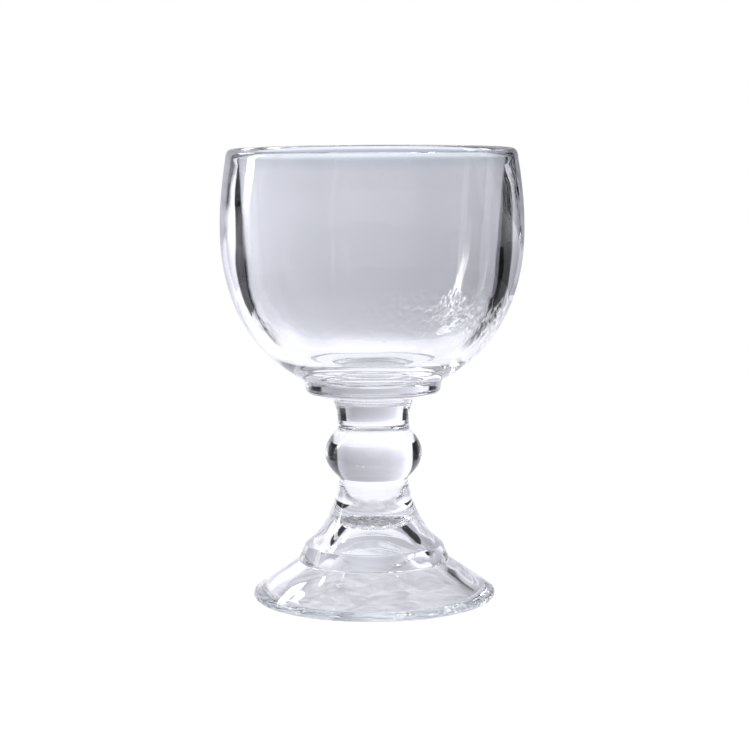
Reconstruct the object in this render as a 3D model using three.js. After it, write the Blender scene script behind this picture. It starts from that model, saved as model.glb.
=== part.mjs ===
// Schooner: a heavy stemmed beer glass, pressed in clear soda-lime glass.
// Millimetres, +Z up, origin on the table under the middle of the foot.
// Five gathers of glass stand on each other along the axis and are fused on flat faces:
// foot, knop, neck, merese (the pad that carries the bowl) and bowl.

import * as THREE from 'three';

// Heights of the five pieces, which stack up from the table.
const footHeight = 44.6;
const knopHeight = 17.4;
const neckHeight = 11;
const mereseHeight = 7.6;
const bowlHeight = 83.8;

// Radii of the four fused faces: each is shared by the piece below and the piece above.
const knopSeatRadius = 12.7;
const neckSeatRadius = 13.5;
const mereseSeatRadius = 14.6;
const bowlSeatRadius = 25.2;

// Bowl, outside: a saucer-like flare that turns up into a round belly and draws in to the lip.
const bellyRadius = 55.1;
const bellyRise = 54.4;
const bowlFlareAngle = 28;
const bowlFlareFullness = 0.77;
const bellyFullness = 0.37;
const lipDrawIn = 2.3;
const lipThickness = 4.2;

// Bowl, inside: the tapered bore that the plunger leaves, a long round corner and a small flat floor.
const cornerWall = 9.9;
const floorThickness = 6.9;
const floorInset = 7.2;
const cornerHeight = 31;
const cornerDrop = 0.6;
const cornerSweep = 0.45;

// Merese: a shallow saucer with a rounded edge.
const mereseLean = 1.1;
const mereseEdgeRise = 3.9;
const mereseEdgeRound = 2.2;

// Neck and knop.
const neckWaistRadius = 13.1;
const neckWaistRise = 4.4;
const knopRadius = 17.8;
const knopBellyRise = 8.8;

// Foot, outside: the stem flares to a shoulder, then a step, then the brim.
const stemCollar = 1.2;
const stemStraight = 3.6;
const shoulderRadius = 25.2;
const shoulderRise = 20.1;
const shoulderRound = 0.5;
const footFlareAngle = 35;
const footFlareReach = 10.6;
const stepRadius = 27.8;
const stepRise = 14.3;
const brimRadius = 44.5;
const brimCrown = 0.8;
const brimEdgeRadius = 1.7;
const brimSlopeAngle = 36;

// Foot, underneath: a flat ring to stand on, a wide hollow and a steeper conical well above it.
const bearingWidth = 5.3;
const bearingRound = 1.6;
const wellRise = 18.7;
const wellMouthRound = 3;
const wellSlopeAngle = 54.6;
const wellCeiling = 26.3;
const wellTopRadius = 9.6;
const wellTopRound = 0.7;

// Smoothness of the turned solids.
const facetsRound = 60;
const stepsPerCorner = 4;
const stepsPerCurve = 6;
const stepsPerRound = 8;
const stepsPerLongCurve = 11;

// Heights of the fused faces above the table.
const knopBase = footHeight;
const neckBase = knopBase + knopHeight;
const mereseBase = neckBase + neckHeight;
const bowlBase = mereseBase + mereseHeight;

const rad = THREE.MathUtils.degToRad;
const at = (radius, height) => new THREE.Vector2(radius, height);

// A straight run between two points of a profile.
function line(from, to) {
  return [from, to];
}

// An arc of a circle, given by its centre, radius and two angles in degrees.
function arc(centre, radius, fromAngle, toAngle) {
  const curve = new THREE.EllipseCurve(
    centre.x, centre.y, radius, radius, rad(fromAngle), rad(toAngle), toAngle < fromAngle,
  );
  return curve.getPoints(stepsPerCurve);
}

// A rounded corner: it leaves the corner's first side and joins its second at set distances.
function rounded(before, corner, after, distance) {
  const start = corner.clone().add(before.clone().sub(corner).setLength(distance));
  const end = corner.clone().add(after.clone().sub(corner).setLength(distance));
  return new THREE.QuadraticBezierCurve(start, corner, end).getPoints(stepsPerCorner);
}

// Half of a bulge: a parabola from one end to the widest point, where it runs upright.
function bulge(end, widest) {
  const aim = at(widest.x, (end.y + widest.y) / 2);
  return new THREE.QuadraticBezierCurve(end, aim, widest).getPoints(stepsPerCurve);
}

// Turns a profile, made of runs that follow each other, round the upright axis.
function turned(name, material, runs) {
  const profile = [];
  for (const point of runs.flat()) {
    const last = profile.at(-1);
    if (!last || last.distanceTo(point) > 1e-4) profile.push(point);
  }
  const geometry = new THREE.LatheGeometry(profile, facetsRound);
  geometry.rotateX(Math.PI / 2);
  const mesh = new THREE.Mesh(geometry, material);
  mesh.name = name;
  return mesh;
}

function clearGlass() {
  return new THREE.MeshStandardMaterial({ color: 0xe9eef0, roughness: 0.04, metalness: 0 });
}

// Foot: the lower stem, its flare, the step and the brim in one pressing, hollow underneath.
function foot() {
  const top = at(knopSeatRadius, footHeight);
  const waist = at(knopSeatRadius, footHeight - stemCollar);
  const shoulder = at(shoulderRadius, shoulderRise);
  const step = at(stepRadius, stepRise);
  const flareAim = at(
    shoulder.x - footFlareReach * Math.cos(rad(footFlareAngle)),
    shoulder.y + footFlareReach * Math.sin(rad(footFlareAngle)),
  );
  const shoulderCurve = rounded(flareAim, shoulder, step, shoulderRound);
  const flareEnd = shoulderCurve[0];
  const flare = new THREE.CubicBezierCurve(
    flareEnd, flareAim, at(waist.x, waist.y - stemStraight), waist,
  ).getPoints(stepsPerLongCurve);

  const edgeCentre = at(brimRadius - brimEdgeRadius, brimEdgeRadius);
  const edge = arc(edgeCentre, brimEdgeRadius, -90, 90 - brimSlopeAngle);
  const brimEnd = edge.at(-1);
  const brimMiddle = brimEnd.clone().lerp(step, 0.5);
  const brimTop = new THREE.QuadraticBezierCurve(
    brimEnd, brimMiddle.add(at(0, brimCrown)), step,
  ).getPoints(stepsPerCurve);

  const ringInner = at(edgeCentre.x - bearingWidth, 0);
  const wellTop = at(wellTopRadius, wellCeiling);
  const wellSpread = (wellCeiling - wellRise) / Math.tan(rad(wellSlopeAngle));
  const wellMouth = at(wellTopRadius + wellSpread, wellRise);
  const ceiling = at(0, wellCeiling);
  return turned('foot', clearGlass(), [
    [ceiling],
    rounded(ceiling, wellTop, wellMouth, wellTopRound),
    rounded(wellTop, wellMouth, ringInner, wellMouthRound),
    rounded(wellMouth, ringInner, edge[0], bearingRound),
    edge,
    brimTop,
    [...shoulderCurve].reverse(),
    flare,
    line(top, at(0, footHeight)),
  ]);
}

// Knop: a round ball of glass between the foot and the neck.
function knop() {
  const widest = at(knopRadius, knopBase + knopBellyRise);
  const bottom = at(knopSeatRadius, knopBase);
  const top = at(neckSeatRadius, neckBase);
  return turned('knop', clearGlass(), [
    line(at(0, knopBase), bottom),
    bulge(bottom, widest),
    bulge(top, widest).reverse(),
    line(top, at(0, neckBase)),
  ]);
}

// Neck: the short waisted stem above the knop.
function neck() {
  const bottom = at(neckSeatRadius, neckBase);
  const top = at(mereseSeatRadius, mereseBase);
  const waistAim = at(2 * neckWaistRadius - (bottom.x + top.x) / 2, neckBase + neckWaistRise);
  const side = new THREE.QuadraticBezierCurve(bottom, waistAim, top).getPoints(stepsPerCurve);
  return turned('neck', clearGlass(), [
    line(at(0, neckBase), bottom),
    side,
    line(top, at(0, mereseBase)),
  ]);
}

// Merese: the saucer-shaped pad that spreads the neck out to the bottom of the bowl.
function merese() {
  const bottom = at(mereseSeatRadius, mereseBase);
  const top = at(bowlSeatRadius, bowlBase);
  const edge = at(bowlSeatRadius - mereseLean, mereseBase + mereseEdgeRise);
  return turned('merese', clearGlass(), [
    line(at(0, mereseBase), bottom),
    rounded(bottom, edge, top, mereseEdgeRound),
    line(top, at(0, bowlBase)),
  ]);
}

// Bowl: thick at the belly, thinner at the round lip, with a tapered bore inside.
function bowl() {
  const seat = at(bowlSeatRadius, bowlBase);
  const belly = at(bellyRadius, bowlBase + bellyRise);
  const spread = (bellyRadius - bowlSeatRadius) * bowlFlareFullness;
  const flare = new THREE.CubicBezierCurve(
    seat,
    at(seat.x + spread, seat.y + spread * Math.tan(rad(bowlFlareAngle))),
    at(belly.x, belly.y - bellyRise * bellyFullness),
    belly,
  ).getPoints(stepsPerLongCurve);

  const lipRadius = lipThickness / 2;
  const lipCentre = at(bellyRadius - lipDrawIn - lipRadius, bowlBase + bowlHeight - lipRadius);
  const lip = new THREE.EllipseCurve(
    lipCentre.x, lipCentre.y, lipRadius, lipRadius, 0, Math.PI, false,
  ).getPoints(stepsPerRound);
  const drawIn = new THREE.QuadraticBezierCurve(
    belly, at(belly.x, (belly.y + lipCentre.y) / 2), lip[0],
  ).getPoints(stepsPerCurve);

  const floor = bowlBase + floorThickness;
  const cornerTop = at(bellyRadius - cornerWall, floor + cornerHeight);
  const floorEdge = at(bowlSeatRadius - floorInset, floor);
  const lipEnd = lip.at(-1);
  const boreAim = at(lipEnd.x, (lipEnd.y + cornerTop.y) / 2);
  const bore = new THREE.QuadraticBezierCurve(lipEnd, boreAim, cornerTop).getPoints(stepsPerCurve);
  const drop = cornerTop.clone().sub(boreAim).setLength(cornerHeight * cornerDrop);
  const sweep = (cornerTop.x - floorEdge.x) * cornerSweep;
  const corner = new THREE.CubicBezierCurve(
    cornerTop, cornerTop.clone().add(drop), at(floorEdge.x + sweep, floor), floorEdge,
  ).getPoints(stepsPerLongCurve);
  return turned('bowl', clearGlass(), [
    line(at(0, bowlBase), seat),
    flare,
    drawIn,
    lip,
    bore,
    corner,
    line(floorEdge, at(0, floor)),
  ]);
}

const schooner = new THREE.Group();
schooner.name = 'schooner_glass';
schooner.add(foot(), knop(), neck(), merese(), bowl());

export default schooner;
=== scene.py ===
import math

import bmesh
import bpy
from mathutils import Matrix, Quaternion, Vector, noise
from mathutils.geometry import interpolate_bezier


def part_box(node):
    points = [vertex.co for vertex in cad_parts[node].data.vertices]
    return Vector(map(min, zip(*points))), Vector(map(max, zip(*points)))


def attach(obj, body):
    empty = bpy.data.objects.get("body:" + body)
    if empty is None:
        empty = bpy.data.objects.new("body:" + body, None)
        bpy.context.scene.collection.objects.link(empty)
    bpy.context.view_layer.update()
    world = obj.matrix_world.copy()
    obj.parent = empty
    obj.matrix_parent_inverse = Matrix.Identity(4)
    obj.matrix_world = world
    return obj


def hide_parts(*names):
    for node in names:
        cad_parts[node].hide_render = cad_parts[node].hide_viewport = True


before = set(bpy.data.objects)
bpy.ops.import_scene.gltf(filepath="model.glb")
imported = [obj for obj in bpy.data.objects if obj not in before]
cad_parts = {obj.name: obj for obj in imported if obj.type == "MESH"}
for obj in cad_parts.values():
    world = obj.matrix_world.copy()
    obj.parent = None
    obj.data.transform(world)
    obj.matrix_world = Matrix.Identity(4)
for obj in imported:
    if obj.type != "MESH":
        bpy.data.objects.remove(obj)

mm = 0.001  # the settings below are in millimetres and degrees, Blender's scene is in metres
circleAim = 4 * (math.sqrt(2) - 1) / 3  # share of the way to the corner that makes a quarter of a circle
bendAim = 2 / 3  # share of the way to the aim in a curve that has one aim for both ends
noise.seed_set(4)  # without it, noise vectors start from the clock and differ from run to run
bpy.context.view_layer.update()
print("frame loaded:", sorted(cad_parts))


# Profiles: a piece is drawn as half of its cross-section, in the plane of the axis.

meshSettings = {
    "spinParts": 12,  # one part of the turn is spun and then copied round, which is much quicker
    "pointGap": 0.004, "mergeGap": 0.002, "levelGap": 0.001,
}


def at(radius, height):
    return Vector((radius, 0.0, height))


def straight(start, end, cuts=1):
    return [start.lerp(end, i / cuts) for i in range(cuts + 1)]


def curve(start, startAim, endAim, end, cuts):
    return interpolate_bezier(start, startAim, endAim, end, cuts + 1)


def bend(start, aim, end, cuts):
    return curve(start, start.lerp(aim, bendAim), end.lerp(aim, bendAim), end, cuts)


def quarter(start, corner, end, cuts):
    return curve(start, start.lerp(corner, circleAim), end.lerp(corner, circleAim), end, cuts)


def rounded(before, corner, after, reach, cuts):
    start = corner + (before - corner).normalized() * (reach * mm)
    end = corner + (after - corner).normalized() * (reach * mm)
    return bend(start, corner, end, cuts)


def joined(*runs):
    points = []
    for point in (p for run in runs for p in run):
        if not points or (point - points[-1]).length > meshSettings["pointGap"] * mm:
            points.append(point)
    return points


# Meshes: the profile is spun round the axis, and a relief moves the surface along its normals.

def onlyVerts(geom):
    return [g for g in geom if isinstance(g, bmesh.types.BMVert)]


def spinProfile(points, steps, parts):
    bm = bmesh.new()
    verts = [bm.verts.new(p) for p in points]
    edges = [bm.edges.new(pair) for pair in zip(verts, verts[1:])]
    bmesh.ops.spin(bm, geom=verts + edges, cent=(0, 0, 0), axis=(0, 0, 1), dvec=(0, 0, 0),
                   angle=2 * math.pi / parts, steps=steps // parts, use_duplicate=False)
    wedge = bm.verts[:] + bm.edges[:] + bm.faces[:]
    for i in range(1, parts):
        copied = bmesh.ops.duplicate(bm, geom=wedge)["geom"]
        bmesh.ops.rotate(bm, verts=onlyVerts(copied), cent=(0, 0, 0),
                         matrix=Matrix.Rotation(2 * math.pi * i / parts, 3, "Z"))
    bmesh.ops.remove_doubles(bm, verts=bm.verts, dist=meshSettings["mergeGap"] * mm)
    bmesh.ops.recalc_face_normals(bm, faces=bm.faces)
    bm.normal_update()
    return bm


def markJoints(bm, heights):
    # faces on a fused joint get the second material, and a sharp edge round them
    gap = meshSettings["levelGap"] * mm
    for face in bm.faces:
        face.smooth = True
        onJoint = any(all(abs(v.co.z - h) < gap for v in face.verts) for h in heights)
        face.material_index = 1 if onJoint else 0
    for edge in bm.edges:
        if len({f.material_index for f in edge.link_faces}) > 1:
            edge.smooth = False


def pushSurface(bm, relief):
    # the joints stay flat
    moves = [(v, v.normal * relief(v)) for v in bm.verts
             if not any(f.material_index for f in v.link_faces)]
    for v, move in moves:
        v.co += move


def meshObject(name, bm):
    mesh = bpy.data.meshes.new(name)
    bm.to_mesh(mesh)
    bm.free()
    thing = bpy.data.objects.new(name, mesh)
    bpy.context.scene.collection.objects.link(thing)
    return thing


def spunPiece(name, points, steps, jointHeights, relief):
    bm = spinProfile(points, steps, meshSettings["spinParts"])
    markJoints(bm, jointHeights)
    pushSurface(bm, relief)
    piece = meshObject(name, bm)
    print("spun", name, len(piece.data.polygons), "faces")
    return piece


# Patterns of the surface: sizes in millimetres, then a seed

patternSettings = {
    "creaseSharp": 3, "creaseFiner": 2.3, "creaseSeed": 5,  # the last two are of its finer wave
    "ridgeWidth": 0.16, "bendFiner": 3, "bendLess": 5,  # the last two are of the noise that bends it
}


def wave(co, size, seed):
    return noise.noise(co / (size * mm) + Vector((seed, seed, seed)))


def crease(co, size, seed):
    # waves that end in sharp ridges
    p = patternSettings
    fine = abs(wave(co, size / p["creaseFiner"], seed + p["creaseSeed"]))
    return 1 - p["creaseSharp"] * abs(wave(co, size, seed)) - fine


def ridge(co, size, seed):
    # narrow ridges on a smooth face, made jagged by a finer noise
    p = patternSettings
    bent = co + noise.noise_vector(co / (size * mm / p["bendFiner"])) * (size * mm / p["bendLess"])
    return max(0, 1 - abs(wave(bent, size, seed)) / p["ridgeWidth"])


def ripple(co, across, along, seed):
    # low waves that run round the axis
    radius = math.hypot(co.x, co.y)
    turn = Vector((co.x, co.y, 0)) / (along * mm)
    return noise.noise(turn + Vector((seed, -seed, (co.z + radius) / (across * mm))))


def mouldWave(v, s):
    # sunk by its own height, so that it stays inside the plain surface
    return s["wave"] * mm * (wave(v.co, *s["wavePattern"]) - 1)


# Shader nodes

def fillSockets(tree, node, inputs):
    for socket, value in inputs:
        if isinstance(value, bpy.types.NodeSocket):
            tree.links.new(value, node.inputs[socket])
        else:
            node.inputs[socket].default_value = value


def addNode(tree, kind, inputs=(), **settings):
    node = tree.nodes.new(kind)
    for name, value in settings.items():
        setattr(node, name, value)
    fillSockets(tree, node, inputs)
    return node


def newMaterial(name):
    material = bpy.data.materials.new(name)
    material.use_nodes = True
    return material, material.node_tree


def showShader(tree, shader):
    # in place of the Principled shader that a new material has
    tree.nodes.remove(tree.nodes["Principled BSDF"])
    tree.links.new(shader.outputs[0], tree.nodes["Material Output"].inputs["Surface"])


def objectPlace(tree):
    return addNode(tree, "ShaderNodeTexCoord").outputs["Object"]


def parted(tree, place):
    return addNode(tree, "ShaderNodeSeparateXYZ", [(0, place)]).outputs


def calculate(tree, operation, *values):
    return addNode(tree, "ShaderNodeMath", enumerate(values), operation=operation).outputs[0]


def inDegrees(tree, operation, *values):
    return calculate(tree, "DEGREES", calculate(tree, operation, *values))


def turnOf(tree, parts):
    # degrees round the axis from +Y, more to the right
    return inDegrees(tree, "ARCTAN2", parts["X"], parts["Y"])


def measure(tree, operation, *vectors):
    # a number from one or two vectors
    return addNode(tree, "ShaderNodeVectorMath", enumerate(vectors), operation=operation).outputs["Value"]


def multiplied(tree, first, second):
    node = addNode(tree, "ShaderNodeVectorMath", [(0, first), (1, second)], operation="MULTIPLY")
    return node.outputs["Vector"]


def mapped(tree, value, low, high, lowResult=0.0, highResult=1.0):
    node = addNode(tree, "ShaderNodeMapRange", [
        ("Value", value), ("From Min", low), ("From Max", high),
        ("To Min", lowResult), ("To Max", highResult),
    ])
    return node.outputs["Result"]


def mixed(tree, share, first, second, kind="RGBA"):
    node = addNode(tree, "ShaderNodeMix", [("Factor", share), ("A", first), ("B", second)], data_type=kind)
    return node.outputs["Result"]


def noiseTexture(tree, place, scale, detail, twist=0.0):
    node = addNode(tree, "ShaderNodeTexNoise", [
        ("Vector", place), ("Scale", scale), ("Detail", detail), ("Distortion", twist),
    ])
    return node.outputs["Fac"]


# Glass

glassSettings = {
    "tint": (0.985, 0.992, 0.995, 1), "thickTint": (0.76, 0.86, 0.88, 1),
    "ior": 1.52, "specular": 0.3, "transmission": 1.0,
    "roughness": 0.012, "hazeScale": 90, "hazeDetail": 4,
    # where the teal of the thick edges fades in: height at the lip, height and radius at the brim's edge
    "lipFrom": 157, "lipFull": 163,
    "edgeFrom": 7, "edgeFull": 1, "edgeRadiusFrom": 37, "edgeRadiusFull": 43,
    "cordScale": 160, "cordDetail": 3,  # cords in the glass make it uneven
}


def clearGlass(s):
    material, tree = newMaterial("clearGlass")
    place = objectPlace(tree)
    height = parted(tree, place)["Z"]
    radius = measure(tree, "LENGTH", multiplied(tree, place, (1, 1, 0)))
    lip = mapped(tree, height, s["lipFrom"] * mm, s["lipFull"] * mm)
    low = mapped(tree, height, s["edgeFrom"] * mm, s["edgeFull"] * mm)
    wide = mapped(tree, radius, s["edgeRadiusFrom"] * mm, s["edgeRadiusFull"] * mm)
    edges = calculate(tree, "MAXIMUM", lip, calculate(tree, "MULTIPLY", low, wide))
    cords = noiseTexture(tree, place, s["cordScale"], s["cordDetail"])
    thick = calculate(tree, "MULTIPLY", edges, cords)
    haze = noiseTexture(tree, place, s["hazeScale"], s["hazeDetail"])
    fillSockets(tree, tree.nodes["Principled BSDF"], [
        ("Base Color", mixed(tree, thick, s["tint"], s["thickTint"])),
        ("Roughness", calculate(tree, "MULTIPLY", haze, s["roughness"])),
        ("IOR", s["ior"]),
        ("Specular IOR Level", s["specular"]),
        ("Transmission Weight", s["transmission"]),
    ])
    return material


def fusedJoint():
    # the glass runs through here, so nothing is seen
    material, tree = newMaterial("fusedJoint")
    showShader(tree, addNode(tree, "ShaderNodeBsdfTransparent"))
    return material


# grey rough glass where the press left its mark: the roughness is real, the dark and light spots in its
# colour are painted shade and sparkle
roughSettings = {
    "dark": (0.04, 0.04, 0.045, 1), "light": (0.5, 0.51, 0.53, 1),
    "ior": 1.52, "transmission": 0.5, "roughness": 0.18,
    "sparkleScale": 420, "sparkleDetail": 3, "sparkleFrom": 0.48, "sparkleFull": 0.64,
}


def roughGlass(s):
    material, tree = newMaterial("roughGlass")
    sparkles = noiseTexture(tree, objectPlace(tree), s["sparkleScale"], s["sparkleDetail"])
    share = mapped(tree, sparkles, s["sparkleFrom"], s["sparkleFull"])
    fillSockets(tree, tree.nodes["Principled BSDF"], [
        # the base colour holds painted sparkle and shade, light and dark spots by noise
        ("Base Color", mixed(tree, share, s["dark"], s["light"])),
        ("Roughness", s["roughness"]),
        ("IOR", s["ior"]),
        ("Transmission Weight", s["transmission"]),
    ])
    return material


glass = clearGlass(glassSettings)
joint = fusedJoint()


def finishPiece(piece, node):
    piece.data.materials.append(glass)
    piece.data.materials.append(joint)
    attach(piece, "root")
    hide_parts(node)


# Sizes that the pieces share come from the frame.

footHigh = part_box("foot")[1]
knopLow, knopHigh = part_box("knop")
neckLow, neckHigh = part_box("neck")
mereseLow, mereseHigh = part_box("merese")
bowlLow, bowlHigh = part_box("bowl")

seatRadius = {"knop": 12.7 * mm, "neck": 13.5 * mm, "merese": 14.6 * mm, "bowl": mereseHigh.x}


footSettings = {
    "steps": 480,
    # each Round is a rounded corner: its reach along both sides, and its cuts
    "stemCollar": 1.2, "stemStraight": 3.6,
    "shoulderRadius": 25.2, "shoulderRise": 20.1, "shoulderRound": (0.5, 8),
    "flareAngle": 35, "flareReach": 10.6,
    "stepRadius": 27.8, "stepRise": 14.3, "stepRound": (0.5, 6),
    "brimCrown": 0.8, "brimEdgeRadius": 1.7, "brimSlopeAngle": 36,
    "bearingWidth": 5.3, "bearingRound": (1.6, 8),
    "wellCeiling": 26.3, "wellTopRadius": 9.6, "wellSlopeAngle": 54.6, "wellRise": 18.7,
    "wellRound": (0.7, 8), "mouthRound": (3, 10),
    # cuts along the other runs of the profile
    "ceilingCuts": 14, "wellCuts": 12, "hollowCuts": 40, "ringCuts": 3, "edgeCuts": 14,
    "brimCuts": 32, "stepCuts": 6, "flareCuts": 32, "collarCuts": 2,
    # relief: height, then size and seed; for ripples size across, size along and seed
    "wave": 0.015, "wavePattern": (6, 7),
    "crinkle": 0.3, "crinklePattern": (2, 8), "ceilingDepth": 0.5, "ceilingFacing": -0.5,
    "edgePits": 0.14, "pitPattern": (2.5, 9),
    "brimRipple": 0.35, "brimPattern": (4, 16, 5),
    "underRipple": 0.45, "underPattern": (5, 14, 3), "underFacing": -0.1, "rippleRise": 4,
    "ringLevel": 0.05,  # the ring that the glass stands on has no relief up to here
    "roughRadius": 7.8, "roughDepth": 1, "roughFacing": -0.3,
}


def footUnderside(s, edgeCentre, wellTop):
    ringOuter = at(edgeCentre.x, 0)
    ringInner = at(edgeCentre.x - s["bearingWidth"] * mm, 0)
    wellDrop = (s["wellCeiling"] - s["wellRise"]) * mm
    wellMouth = wellTop + at(wellDrop / math.tan(math.radians(s["wellSlopeAngle"])), -wellDrop)
    ceiling = at(0, s["wellCeiling"] * mm)
    topRun = rounded(ceiling, wellTop, wellMouth, *s["wellRound"])
    mouthRun = rounded(wellTop, wellMouth, ringInner, *s["mouthRound"])
    ringRun = rounded(wellMouth, ringInner, ringOuter, *s["bearingRound"])
    return [
        straight(ceiling, topRun[0], s["ceilingCuts"]),
        topRun,
        straight(topRun[-1], mouthRun[0], s["wellCuts"]),
        mouthRun,
        straight(mouthRun[-1], ringRun[0], s["hollowCuts"]),
        ringRun,
        straight(ringRun[-1], ringOuter, s["ringCuts"]),
    ]


def footOutside(s, edgeCentre, step):
    top = at(seatRadius["knop"], footHigh.z)
    waist = top - at(0, s["stemCollar"] * mm)
    waistAim = waist - at(0, s["stemStraight"] * mm)
    shoulder = at(s["shoulderRadius"] * mm, s["shoulderRise"] * mm)
    flare = math.radians(s["flareAngle"])
    flareAim = shoulder + at(-math.cos(flare), math.sin(flare)) * s["flareReach"] * mm
    shoulderRun = rounded(step, shoulder, flareAim, *s["shoulderRound"])
    sweep = math.pi - math.radians(s["brimSlopeAngle"])
    edgeRun = [edgeCentre + at(math.sin(a), -math.cos(a)) * (s["brimEdgeRadius"] * mm)
               for a in [sweep * i / s["edgeCuts"] for i in range(s["edgeCuts"] + 1)]]
    brimEnd = edgeRun[-1]
    brimAim = brimEnd.lerp(step, 0.5) + at(0, s["brimCrown"] * mm)
    stepRun = rounded(brimAim, step, shoulder, *s["stepRound"])
    return [
        edgeRun,
        bend(brimEnd, brimAim, stepRun[0], s["brimCuts"]),
        stepRun,
        straight(stepRun[-1], shoulderRun[0], s["stepCuts"]),
        shoulderRun,
        curve(shoulderRun[-1], flareAim, waistAim, waist, s["flareCuts"]),
        straight(waist, top, s["collarCuts"]),
        straight(top, at(0, top.z)),
    ]


def footRelief(s, edgeCentre, step, wellTop):
    def relief(v):
        radius = math.hypot(v.co.x, v.co.y)
        if v.co.z < s["ringLevel"] * mm:
            return 0
        if v.co.z > wellTop.z - s["ceilingDepth"] * mm and v.normal.z < s["ceilingFacing"]:
            return s["crinkle"] * mm * crease(v.co, *s["crinklePattern"])
        if v.co.z < edgeCentre.z * 2 and radius > edgeCentre.x:
            return s["edgePits"] * mm * (wave(v.co, *s["pitPattern"]) - 1)
        if v.normal.z < s["underFacing"]:
            fade = min(1, v.co.z / (s["rippleRise"] * mm))
            return s["underRipple"] * mm * fade * ripple(v.co, *s["underPattern"])
        if radius > step.x:
            return s["brimRipple"] * mm * (ripple(v.co, *s["brimPattern"]) - 1)
        return mouldWave(v, s)

    return relief


def makeFoot(s):
    edgeCentre = at(footHigh.x - s["brimEdgeRadius"] * mm, s["brimEdgeRadius"] * mm)
    step = at(s["stepRadius"] * mm, s["stepRise"] * mm)
    wellTop = at(s["wellTopRadius"] * mm, s["wellCeiling"] * mm)
    points = joined(*footUnderside(s, edgeCentre, wellTop), *footOutside(s, edgeCentre, step))
    relief = footRelief(s, edgeCentre, step, wellTop)
    piece = spunPiece("foot_glass", points, s["steps"], [footHigh.z], relief)
    finishPiece(piece, "foot")
    # the top of the well keeps the rough mark of the press
    piece.data.materials.append(roughGlass(roughSettings))
    for face in piece.data.polygons:
        nearAxis = face.center.xy.length < s["roughRadius"] * mm
        atTop = face.center.z > wellTop.z - s["roughDepth"] * mm
        if nearAxis and atTop and face.normal.z < s["roughFacing"]:
            face.material_index = 2


def makeStemPiece(name, node, s, bottom, top, *sideRuns):
    # the knop, the neck and the merese: a fused face below, a side and a fused face above
    points = joined(straight(at(0, bottom.z), bottom), *sideRuns, straight(top, at(0, top.z)))
    piece = spunPiece(name, points, s["steps"], [bottom.z, top.z], lambda v: mouldWave(v, s))
    finishPiece(piece, node)


knopSettings = {"steps": 264, "bellyRise": 8.8, "cuts": 28, "wave": 0.015, "wavePattern": (7, 6)}


def makeKnop(s):
    bottom = at(seatRadius["knop"], knopLow.z)
    top = at(seatRadius["neck"], knopHigh.z)
    widest = at(knopHigh.x, bottom.z + s["bellyRise"] * mm)
    lowAim = at(widest.x, (bottom.z + widest.z) / 2)
    highAim = at(widest.x, (top.z + widest.z) / 2)
    makeStemPiece("knop_glass", "knop", s, bottom, top,
                  bend(bottom, lowAim, widest, s["cuts"]), bend(widest, highAim, top, s["cuts"]))


neckSettings = {
    "steps": 228, "waistRadius": 13.1, "waistRise": 4.4, "cuts": 24, "wave": 0.015, "wavePattern": (6, 3),
}


def makeNeck(s):
    bottom = at(seatRadius["neck"], neckLow.z)
    top = at(seatRadius["merese"], neckHigh.z)
    aim = at(2 * s["waistRadius"] * mm - (bottom.x + top.x) / 2, bottom.z + s["waistRise"] * mm)
    makeStemPiece("neck_glass", "neck", s, bottom, top, bend(bottom, aim, top, s["cuts"]))


mereseSettings = {
    "steps": 300, "edgeLean": 0.6, "edgeRise": 4.8,
    "throatReach": 1.4, "throatRise": 1.8, "bulgeReach": 0.2, "bulgeRise": 1.6,
    "sideCuts": 32, "edgeCuts": 6, "wave": 0.03, "wavePattern": (4, 2),
}


def makeMerese(s):
    bottom = at(seatRadius["merese"], mereseLow.z)
    top = at(seatRadius["bowl"], mereseHigh.z)
    edge = at(top.x - s["edgeLean"] * mm, bottom.z + s["edgeRise"] * mm)
    throatAim = bottom + at(s["throatReach"], s["throatRise"]) * mm
    bulgeAim = at(top.x + s["bulgeReach"] * mm, bottom.z + s["bulgeRise"] * mm)
    makeStemPiece("merese_glass", "merese", s, bottom, top,
                  curve(bottom, throatAim, bulgeAim, edge, s["sideCuts"]), straight(edge, top, s["edgeCuts"]))


bowlSettings = {
    "steps": 480,
    "bellyRise": 54.4, "flareAngle": 28, "flareFullness": 0.77, "bellyFullness": 0.37,
    "lipDrawIn": 2.3, "lipThickness": 4.2, "lipDrop": 3.4,
    "cornerWall": 9.9, "floorThickness": 6.9, "floorRadius": 18, "cornerHeight": 31,
    "cornerDrop": 0.6, "cornerSweep": 0.45,
    # cuts along the runs of the profile
    "flareCuts": 30, "drawInCuts": 14, "lipOutCuts": 10, "lipInCuts": 8,
    "boreCuts": 20, "cornerCuts": 72, "floorCuts": 12,
    "wave": 0.03, "wavePattern": (9, 1),
    # chill wrinkles of the round corner: height, middle above the floor, reach up and down
    "wrinkle": 0.5, "wrinkleRise": 18, "wrinkleReach": 10,
    # they are deepest at one turn to the right of the back, and least on the other side
    "wrinkleTurn": 60, "wrinkleLeast": 0.04, "wrinkleFocus": 3,
    "wrinklePatterns": [(5, 4), (5 / 1.7, 9)],
}


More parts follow.
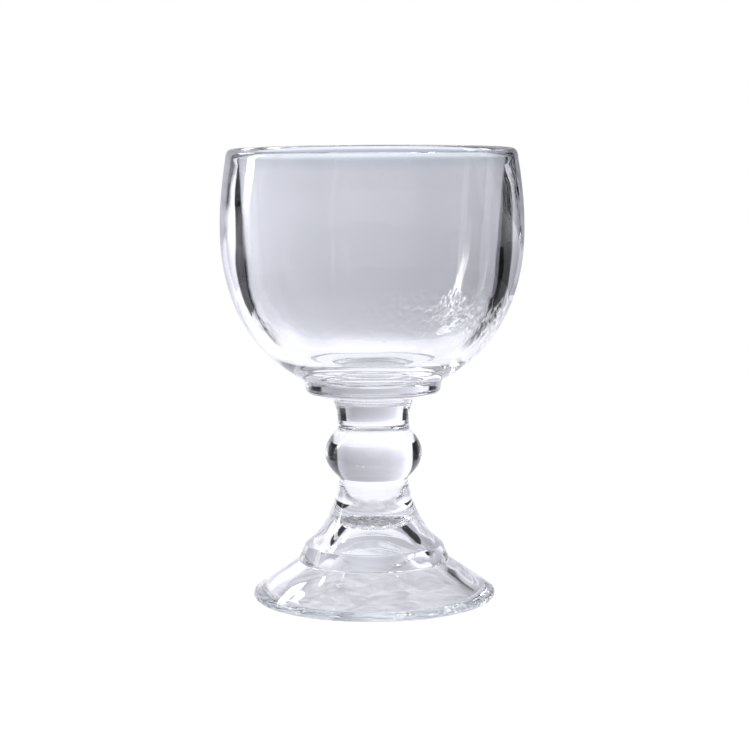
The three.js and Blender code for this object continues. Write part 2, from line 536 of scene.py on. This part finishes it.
def bowlProfile(s):
    seat = at(seatRadius["bowl"], bowlLow.z)
    belly = at(bowlHigh.x, bowlLow.z + s["bellyRise"] * mm)
    spread = (belly.x - seat.x) * s["flareFullness"]
    flareAim = seat + at(spread, spread * math.tan(math.radians(s["flareAngle"])))
    bellyAim = belly - at(0, s["bellyRise"] * s["bellyFullness"] * mm)
    lipRadius = s["lipThickness"] / 2 * mm
    lipTop = at(belly.x - s["lipDrawIn"] * mm - lipRadius, bowlHigh.z)
    lipOut = lipTop + at(lipRadius, -s["lipDrop"] * mm)
    lipIn = lipTop - at(lipRadius, lipRadius)
    drawAim = at(belly.x, (belly.z + lipOut.z) / 2)
    floor = bowlLow.z + s["floorThickness"] * mm
    cornerTop = at(belly.x - s["cornerWall"] * mm, floor + s["cornerHeight"] * mm)
    floorEdge = at(s["floorRadius"] * mm, floor)
    boreAim = at(lipIn.x, (lipIn.z + cornerTop.z) / 2)
    drop = (cornerTop - boreAim).normalized() * s["cornerHeight"] * s["cornerDrop"] * mm
    floorAim = floorEdge + at((cornerTop.x - floorEdge.x) * s["cornerSweep"], 0)
    return joined(
        straight(at(0, seat.z), seat),
        curve(seat, flareAim, bellyAim, belly, s["flareCuts"]),
        bend(belly, drawAim, lipOut, s["drawInCuts"]),
        quarter(lipOut, at(lipOut.x, lipTop.z), lipTop, s["lipOutCuts"]),
        quarter(lipTop, lipIn + at(0, lipRadius), lipIn, s["lipInCuts"]),
        bend(lipIn, boreAim, cornerTop, s["boreCuts"]),
        curve(cornerTop, cornerTop + drop, floorAim, floorEdge, s["cornerCuts"]),
        straight(floorEdge, at(0, floor), s["floorCuts"]),
    )


def bowlRelief(s):
    side = math.radians(s["wrinkleTurn"])
    sideWay = Vector((math.sin(side), math.cos(side), 0))

    def relief(v):
        move = mouldWave(v, s)
        outward = Vector((v.co.x, v.co.y, 0)).normalized()
        if outward.dot(v.normal) < 0:
            # the inside
            rise = (v.co.z - bowlLow.z) / mm - s["floorThickness"]
            band = max(0, 1 - abs(rise - s["wrinkleRise"]) / s["wrinkleReach"])
            focus = max(0, outward.dot(sideWay)) ** s["wrinkleFocus"]
            share = s["wrinkleLeast"] + (1 - s["wrinkleLeast"]) * focus
            ridges = sum(ridge(v.co, *pattern) for pattern in s["wrinklePatterns"])
            move += s["wrinkle"] * mm * band * share * ridges
        return move

    return relief


def makeBowl(s):
    piece = spunPiece("bowl_glass", bowlProfile(s), s["steps"], [bowlLow.z], bowlRelief(s))
    finishPiece(piece, "bowl")


makeFoot(footSettings)
makeKnop(knopSettings)
makeNeck(neckSettings)
makeMerese(mereseSettings)
makeBowl(bowlSettings)


# Studio: a white table inside a round wall, two softboxes, and a dim room with a lamp overhead.
# The wall has a pale backdrop between two black flags. The camera sees a plain white page instead
# of all this, and the glass shows it. Turns are in degrees from the backdrop, more to the right.

rampTop = 2  # the colour ramps hold the light divided by this
softboxStrength = 5  # and those of the softboxes by this too


def addRamp(tree, value, stops, low, high):
    # grey light by a value that runs from low to high
    ramp = addNode(tree, "ShaderNodeValToRGB", [("Fac", mapped(tree, value, low, high))])
    elements = ramp.color_ramp.elements
    for i, (spot, light) in enumerate(stops):
        share = (spot - low) / (high - low)
        stop = elements[i] if i < 2 else elements.new(share)  # a new ramp has two stops
        stop.position = share
        stop.color = (light / rampTop, light / rampTop, light / rampTop, 1)
    scaled = addNode(tree, "ShaderNodeVectorMath", [(0, ramp.outputs["Color"]), ("Scale", rampTop)],
                     operation="SCALE")
    return scaled.outputs["Vector"]


def addLengthRamp(tree, value, stops, low, high):
    return addRamp(tree, value, [(spot * mm, light) for spot, light in stops], low * mm, high * mm)


def addTurnRamp(tree, turn, stops):
    return addRamp(tree, turn, stops, -180, 180)


roomSettings = {
    "page": (1, 1, 1, 1), "tint": (1, 1, 1.08),
    # turn; light of the room there
    "turn": [
        (-180, 0.4), (-140, 0.35), (-100, 0.3), (-60, 0.3), (-45, 0.6), (-30, 0.75), (-18, 1.1),
        (18, 1.1), (30, 0.66), (45, 0.55), (60, 0.3), (100, 0.3), (140, 0.35), (180, 0.4),
    ],
    # degrees above the table; share of the ceiling
    "ceiling": [(-90, 0), (46, 0), (56, 1), (90, 1)],
    # degrees from the middle of the lamp; light of the ceiling there
    "lamp": [(0, 1.02), (24, 1.02), (34, 0.35), (180, 0.35)], "lampRise": 70,
}


def ceilingLight(tree, s, direction):
    lampRise = math.radians(s["lampRise"])
    toLamp = (0, math.cos(lampRise), math.sin(lampRise))
    away = inDegrees(tree, "ARCCOSINE", measure(tree, "DOT_PRODUCT", direction, toLamp))
    return addRamp(tree, away, s["lamp"], 0, 180)


def lightRoom(s):
    world = bpy.data.worlds.new("room")
    bpy.context.scene.world = world
    world.use_nodes = True
    tree = world.node_tree
    direction = addNode(tree, "ShaderNodeTexCoord").outputs["Generated"]
    parts = parted(tree, direction)
    around = addTurnRamp(tree, turnOf(tree, parts), s["turn"])
    share = addRamp(tree, inDegrees(tree, "ARCSINE", parts["Z"]), s["ceiling"], -90, 90)
    light = multiplied(tree, mixed(tree, share, around, ceilingLight(tree, s, direction)), s["tint"])
    seen = addNode(tree, "ShaderNodeLightPath").outputs["Is Camera Ray"]
    fillSockets(tree, tree.nodes["Background"], [("Color", mixed(tree, seen, light, s["page"]))])
    print("room lit")


lightRoom(roomSettings)


# millimetres up the panel; light there
sideSoftbox = {
    "turn": -77, "distance": 430, "width": 72, "foot": 0, "height": 415,
    "light": [(0, 0.3), (50, 0.3), (70, 1.2), (135, 1.2), (180, 4), (215, 10), (415, 10)],
}
backSoftbox = {
    "turn": -48, "distance": 520, "width": 110, "foot": 330, "height": 190,
    "light": [(0, 7), (190, 7)],
}


def softboxGlow(s):
    material, tree = newMaterial("softboxGlow")
    height = parted(tree, objectPlace(tree))["Z"]
    stops = [(s["foot"] + up, light / softboxStrength) for up, light in s["light"]]
    level = addLengthRamp(tree, height, stops, s["foot"], s["foot"] + s["height"])
    showShader(tree, addNode(tree, "ShaderNodeEmission", [("Color", level), ("Strength", softboxStrength)]))
    return material


def standSoftbox(s):
    upright = Matrix.Rotation(math.radians(90), 3, "X")
    turned = Matrix.Rotation(math.radians(-s["turn"]), 3, "Z")
    middle = (0, s["distance"] * mm, (s["foot"] + s["height"] / 2) * mm)
    bm = bmesh.new()
    bmesh.ops.create_grid(bm, x_segments=1, y_segments=1, size=0.5)
    bmesh.ops.scale(bm, verts=bm.verts, vec=(s["width"] * mm, s["height"] * mm, 1))
    bmesh.ops.rotate(bm, verts=bm.verts, cent=(0, 0, 0), matrix=upright)
    bmesh.ops.translate(bm, verts=bm.verts, vec=middle)
    bmesh.ops.rotate(bm, verts=bm.verts, cent=(0, 0, 0), matrix=turned)
    panel = meshObject("softbox", bm)
    panel.visible_camera = False
    panel.data.materials.append(softboxGlow(s))
    print("softbox stood at", s["turn"])


standSoftbox(sideSoftbox)
standSoftbox(backSoftbox)


wallSettings = {
    "radius": 450, "height": 320, "segments": 180, "tint": (1, 1, 1.11),
    # turn; light of the wall there
    "ring": [
        (-180, 0.42), (-150, 0.42), (-138, 0.2), (-125, 0.2), (-112, 0.32), (-82, 0.3),
        (-74, 0.03), (-60, 0.004), (-43, 0.004), (-41.5, 1.05), (-32, 1.08), (-24, 0.83), (-12, 0.65),
        (0, 0.565), (24, 0.44), (35.5, 0.53), (37, 0.004), (57, 0.004), (74, 0.03),
        (82, 0.3), (112, 0.32), (125, 0.2), (138, 0.2), (150, 0.42), (180, 0.42),
    ],
    # millimetres above the table; share of that light
    "fade": [(0, 1.6), (25, 1.35), (45, 1.2), (75, 1.08), (105, 1.0), (135, 0.97), (320, 0.97)],
}


def backdrop(s):
    material, tree = newMaterial("backdrop")
    parts = parted(tree, objectPlace(tree))
    ring = addTurnRamp(tree, turnOf(tree, parts), s["ring"])
    fade = addLengthRamp(tree, parts["Z"], s["fade"], 0, s["height"])
    light = multiplied(tree, multiplied(tree, ring, fade), s["tint"])
    showShader(tree, addNode(tree, "ShaderNodeEmission", [("Color", light)]))
    return material


def putWall(s):
    bm = bmesh.new()
    bmesh.ops.create_circle(bm, segments=s["segments"], radius=s["radius"] * mm)
    raised = bmesh.ops.extrude_edge_only(bm, edges=bm.edges[:])["geom"]
    bmesh.ops.translate(bm, verts=onlyVerts(raised), vec=(0, 0, s["height"] * mm))
    wall = meshObject("wall", bm)
    wall.visible_camera = False
    wall.data.materials.append(backdrop(s))
    print("wall put round the table")


putWall(wallSettings)


tableSettings = {
    "radius": 450, "drop": 0.3, "segments": 180,
    "colour": (0.9, 0.9, 0.91, 1), "shadowShare": 0.12, "page": (1.12, 1.12, 1.12, 1), "tint": (1, 1, 1.08),
    # millimetres from the axis; painted light of the table top there, as the glass shows it, darker up to 41
    # as the painted shadow of the foot
    "light": [(0, 0.73), (41, 0.72), (46, 1.06), (130, 1.16), (240, 1.15), (350, 1.1), (450, 1.05)],
    # shares of that light from left to right, painted lighter on the left
    "acrossReach": 200, "leftShare": 1.12, "rightShare": 0.88,
    # turn; share of that light there, in front and at the sides, from a distance and in full from another;
    # the low shares are painted shade in front and under the flags
    "front": [(-180, 0.08), (-110, 0.08), (-95, 1), (95, 1), (110, 0.08), (180, 0.08)],
    "frontFrom": 60, "frontFull": 95,
    "sides": [
        (-180, 1), (-115, 1), (-100, 0.1), (-55, 0.1), (-48, 1),
        (44, 1), (51, 0.1), (100, 0.1), (115, 1), (180, 1),
    ],
    "sidesFrom": 140, "sidesFull": 185,
    # patches of light that the foot throws on the table: shares of light, size, distance from the axis
    "streakLow": 0.77, "streakHigh": 1.23, "streakSize": 9, "streakFrom": 46, "streakNone": 60,
    "streakNoise": (0.3, 0.7), "streakDetail": 3, "streakTwist": 1.2,
}


def tableShare(tree, reach, turn, stops, start, full):
    # a share by the turn that fades in with the distance from the axis
    outside = mapped(tree, reach, start * mm, full * mm)
    return mixed(tree, outside, (1, 1, 1, 1), addTurnRamp(tree, turn, stops))


def tableStreaks(tree, s, place, reach):
    pattern = noiseTexture(tree, place, 1 / (s["streakSize"] * mm), s["streakDetail"], s["streakTwist"])
    streaks = mapped(tree, pattern, *s["streakNoise"], s["streakLow"], s["streakHigh"])
    under = mapped(tree, reach, s["streakNone"] * mm, s["streakFrom"] * mm)
    return mixed(tree, under, 1.0, streaks, "FLOAT")


def tableLight(tree, s):
    place = objectPlace(tree)
    parts = parted(tree, place)
    reach = measure(tree, "LENGTH", place)
    turn = turnOf(tree, parts)
    # painted light and shade of the table: the foot's shadow, shade in front and under the flags, more light
    # on the left, patches of light from the foot
    light = addLengthRamp(tree, reach, s["light"], 0, s["radius"])
    side = s["acrossReach"] * mm
    across = mapped(tree, parts["X"], -side, side, s["leftShare"], s["rightShare"])
    front = tableShare(tree, reach, turn, s["front"], s["frontFrom"], s["frontFull"])
    sides = tableShare(tree, reach, turn, s["sides"], s["sidesFrom"], s["sidesFull"])
    streaked = calculate(tree, "MULTIPLY", across, tableStreaks(tree, s, place, reach))
    shares = multiplied(tree, multiplied(tree, front, sides), streaked)
    return multiplied(tree, multiplied(tree, light, shares), s["tint"])


def whiteTable(s):
    # the camera sees the page with a faint shadow, the glass sees the table with its light and shade painted
    # into a glow, other light a matt one
    material, tree = newMaterial("whiteTable")
    rays = addNode(tree, "ShaderNodeLightPath").outputs
    seen = mixed(tree, rays["Is Camera Ray"], tableLight(tree, s), s["page"])
    matt = addNode(tree, "ShaderNodeBsdfDiffuse", [("Color", s["colour"])]).outputs[0]
    glow = addNode(tree, "ShaderNodeEmission", [("Color", seen)]).outputs[0]
    glassRay = calculate(tree, "MAXIMUM", rays["Is Glossy Ray"], rays["Is Transmission Ray"])
    either = calculate(tree, "MAXIMUM", rays["Is Camera Ray"], glassRay)
    share = calculate(tree, "MULTIPLY", either, 1 - s["shadowShare"])
    showShader(tree, addNode(tree, "ShaderNodeMixShader", [("Fac", share), (1, matt), (2, glow)]))
    return material


def layTable(s):
    bm = bmesh.new()
    bmesh.ops.create_circle(bm, cap_ends=True, segments=s["segments"], radius=s["radius"] * mm)
    bmesh.ops.translate(bm, verts=bm.verts, vec=(0, 0, -s["drop"] * mm))
    table = meshObject("table", bm)
    table.data.materials.append(whiteTable(s))
    print("table laid")


layTable(tableSettings)


cameraSettings = {
    "distance": 833, "height": 186.6, "aimHeight": 82, "side": 0.72, "roll": -0.34,
    "lens": 110.4, "sensor": 36,
}


def placeCamera(s):
    data = bpy.data.cameras.new("camera")
    data.lens = s["lens"]
    data.sensor_width = s["sensor"]
    camera = bpy.data.objects.new("camera", data)
    bpy.context.scene.collection.objects.link(camera)
    camera.location = Vector((s["side"], -s["distance"], s["height"])) * mm
    aim = Vector((s["side"], 0, s["aimHeight"])) * mm
    camera.rotation_mode = "QUATERNION"
    look = (aim - camera.location).to_track_quat("-Z", "Y")
    camera.rotation_quaternion = look @ Quaternion((0, 0, 1), math.radians(s["roll"]))
    bpy.context.scene.camera = camera
    print("camera placed")


placeCamera(cameraSettings)

bounces = 32  # light passes many walls of glass
clearBounces = 48  # and the fused joints
scene = bpy.context.scene
scene.view_settings.view_transform = "Standard"
scene.cycles.max_bounces = bounces
scene.cycles.transmission_bounces = bounces
scene.cycles.glossy_bounces = bounces
scene.cycles.transparent_max_bounces = clearBounces
